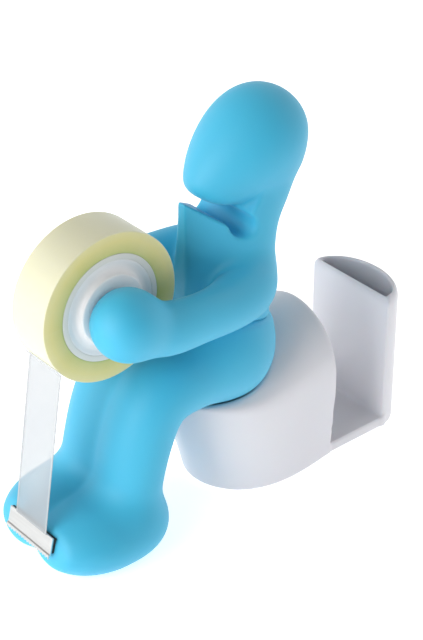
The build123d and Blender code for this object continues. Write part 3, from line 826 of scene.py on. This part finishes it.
def make_roll():
    """Wound tape, its core and the two halves of the hub, each a profile turned round the axle."""
    def ring(inner, outer, edge):
        """A ring as wide as the tape, with rounded edges."""
        corners = [(-tape_half, inner), (tape_half, inner), (tape_half, outer), (-tape_half, outer)]
        return turned(rounded(corners, edge))

    make_piece("wound_tape", *ring(core_outer, tape_outer, tape_round), "roll", tape_look, "tape_film",
               ["tape_winding"], sharp=60)
    make_piece("roll_core", *ring(core_inner, core_outer, core_round), "roll", core_pale, "core_white",
               ["tape_core"], sharp=60)
    for name, side in (("hub_left", 1), ("hub_right", -1)):
        make_piece("dish_" + name, *turned(hub_profile(side)), "roll", hub_white, "white_gloss", [name],
                   sharp=60)


def blade_point(out, down):
    """Point of the upright plane that lies out from the cutter's face and down along it."""
    lean = radians(blade_lean)
    y = blade_top[0] - out * cos(lean) - down * sin(lean)
    z = blade_top[1] + out * sin(lean) - down * cos(lean)
    return np.stack([y, z], axis=-1)


def make_cutter():
    """Stepped steel strip: a sheet profile carried across X, whose last run ends in pointed teeth."""
    step = blade_high * blade_step_share
    low_step, front = step + blade_slope, blade_t + blade_step
    face = [(0.0, 0.0), (blade_t, 0.0), (blade_t, step), (front, low_step), (front, blade_high),
            (blade_step, blade_high), (blade_step, low_step + blade_t), (0.0, step + blade_t)]
    sheet = rounded(face, [0.2, 0.2, 0.3, 0.3, 0.08, 0.08, 0.3, 0.3])
    across = np.linspace(-blade_half, blade_half, teeth * tooth_steps + 1)
    saw = 1 - np.abs(((across + blade_half) / (2 * blade_half) * teeth) % 1.0 - 0.5) * 2
    root = step + tooth_root
    low_share = np.clip((sheet[:, 1] - root) / (blade_high - root), 0, 1)
    down = sheet[None, :, 1] - saw[:, None] * low_share[None, :] * tooth_deep
    plane = blade_point(np.broadcast_to(sheet[None, :, 0], down.shape), down)
    x = np.broadcast_to(across[:, None], down.shape)
    points = np.concatenate([x[..., None], plane], axis=-1).reshape(-1, 3)
    faces = wrap(len(across), len(sheet), False, True)
    return points, faces, len(sheet)


def close_ends(points, faces, columns, lead=0):
    """Adds quads over the first and the last row of a tube whose rows run out along one side of a sheet, from
    the column lead on, and back along the other."""
    out = (lead + np.arange(columns // 2)) % columns
    back = (lead - 1 - np.arange(columns // 2)) % columns
    rungs = np.column_stack([out[:-1], out[1:], back[1:], back[:-1]])
    return points, np.concatenate([faces, rungs, rungs[:, ::-1] + len(points) - columns])


def make_tail():
    """Free strip of film: it follows the roll for a few degrees, bends off and runs on to the cutter."""
    r = tape_outer + tail_gap
    turn = np.radians(np.linspace(tail_start, tail_peel, 7))
    arc = np.column_stack([roll_y - r * np.cos(turn), roll_z - r * np.sin(turn)])
    end = np.array([blade_top[0] - blade_t - tail_over_blade, blade_top[1] - tail_end_down])
    run = arc[-1] + (end - arc[-1]) * np.linspace(0, 1, 40)[1:, None]
    line = np.concatenate([arc, run])
    way = np.gradient(line, axis=0)
    normal = np.column_stack([way[:, 1], -way[:, 0]]) / np.linalg.norm(way, axis=1)[:, None]
    outer = line + normal * tail_t
    return carry_across(np.concatenate([line, outer[::-1]]), tape_half, tail_steps)


def make_pad():
    """Dark sticky pad behind the cutter: a slab with rounded long edges, carried across X."""
    bottom = blade_high * blade_step_share
    corners = [(-pad_gap, pad_inset), (-pad_gap, bottom), (-pad_t, bottom), (-pad_t, pad_inset)]
    outline = rounded(corners, pad_edge)
    return carry_across(blade_point(outline[:, 0], outline[:, 1]), blade_half, pad_steps)


make_skins()
make_roll()
make_piece("cutter", *close_ends(*make_cutter(), corner_steps), "figure", nickel, "cutter_steel",
           ["cutter_blade"], sharp=30)
make_piece("film_tail", *close_ends(*make_tail()), "figure", film, "clear_film", ["tape_tail"],
           sharp=40)
make_piece("foam_pad", *close_ends(*make_pad()), "figure", foam, "dark_foam", ["cutter_pad"],
           sharp=40)

node_looks = {"base_plate": white, "base_screws": steel, "base_feet": rubber, "waist_screw": steel,
              "seat_magnet": magnet_look, "magnet_cover": blue, "ballast_block": iron, "sole_plate": blue,
              "sole_screws": steel, "sole_pads": rubber, "hub_axle": steel}
for name, look in node_looks.items():
    nodes[name].data.materials.clear()
    nodes[name].data.materials.append(look)


# ------------------------------------------------------------------ stage
def make_floor():
    """Pale floor that curves up far behind: height is zero, then a quarter round. In metres."""
    front, bend_at, bend_r, top, half, count = -6.0, 2.0, 2.5, 8.0, 8.0, 5
    t = np.linspace(0, pi / 2, 40)
    bend = np.column_stack([bend_at + bend_r * np.sin(t), bend_r - bend_r * np.cos(t)])
    run = np.concatenate([[(front, 0.0)], bend, [(bend_at + bend_r, top)]])
    points, faces = carry_across(run, half, count)[0], wrap(count, len(run), False, False)
    mesh = bpy.data.meshes.new("floor")
    mesh.from_pydata(points.tolist(), [], faces.tolist())
    mesh.shade_smooth()
    floor = bpy.data.objects.new("floor", mesh)
    bpy.context.scene.collection.objects.link(floor)
    material, _, _ = new_material("floor_white", Roughness=0.9, Base_Color=(0.90, 0.90, 0.91, 1.0),
                                  Emission_Color=(1.0, 1.0, 1.0, 1.0), Emission_Strength=0.62)
    mesh.materials.append(material)


def add_area(name, at, aim, size, power):
    """A square soft light that faces a point, in metres and watts."""
    data = bpy.data.lights.new(name, "AREA")
    data.size = size
    data.energy = power
    light = bpy.data.objects.new(name, data)
    bpy.context.scene.collection.objects.link(light)
    light.location = at
    light.rotation_euler = (Vector(aim) - Vector(at)).to_track_quat("-Z", "Y").to_euler()


def add_camera():
    """The photograph's view: 50 degrees round, 32 degrees up, with its focal length and height in pixels."""
    turn, rise, focal, picture = 50.0, 32.0, 1950.0, 640.0
    stand = (485.97, -412.10, 468.59)
    data = bpy.data.cameras.new("camera")
    data.sensor_width = 36.0
    data.lens = focal * data.sensor_width / picture
    camera = bpy.data.objects.new("camera", data)
    bpy.context.scene.collection.objects.link(camera)
    a, e = radians(turn), radians(rise)
    right = Vector((cos(a), sin(a), 0.0))
    back = Vector((sin(a) * cos(e), -cos(a) * cos(e), sin(e)))
    up = back.cross(right)
    place = Matrix((right, up, back)).transposed().to_4x4()
    place.translation = Vector(to_row(stand))
    camera.matrix_world = place
    bpy.context.scene.camera = camera


make_floor()
add_area("key", at=(-0.12, -1.35, 0.45), aim=(0, 0, 0.08), size=1.3, power=20.5)
add_area("left", at=(-1.20, -0.50, 0.35), aim=(0, 0, 0.08), size=1.2, power=5.0)
add_area("back", at=(0.4, 1.2, 0.7), aim=(0, 0, 0.1), size=0.9, power=0.3)
world = bpy.data.worlds.new("studio")
world.use_nodes = True
sky = world.node_tree.nodes["Background"]
sky.inputs["Color"].default_value = (1.0, 1.0, 1.0, 1.0)
sky.inputs["Strength"].default_value = 0.28
bpy.context.scene.world = world
bpy.context.scene.view_settings.view_transform = "Standard"
add_camera()
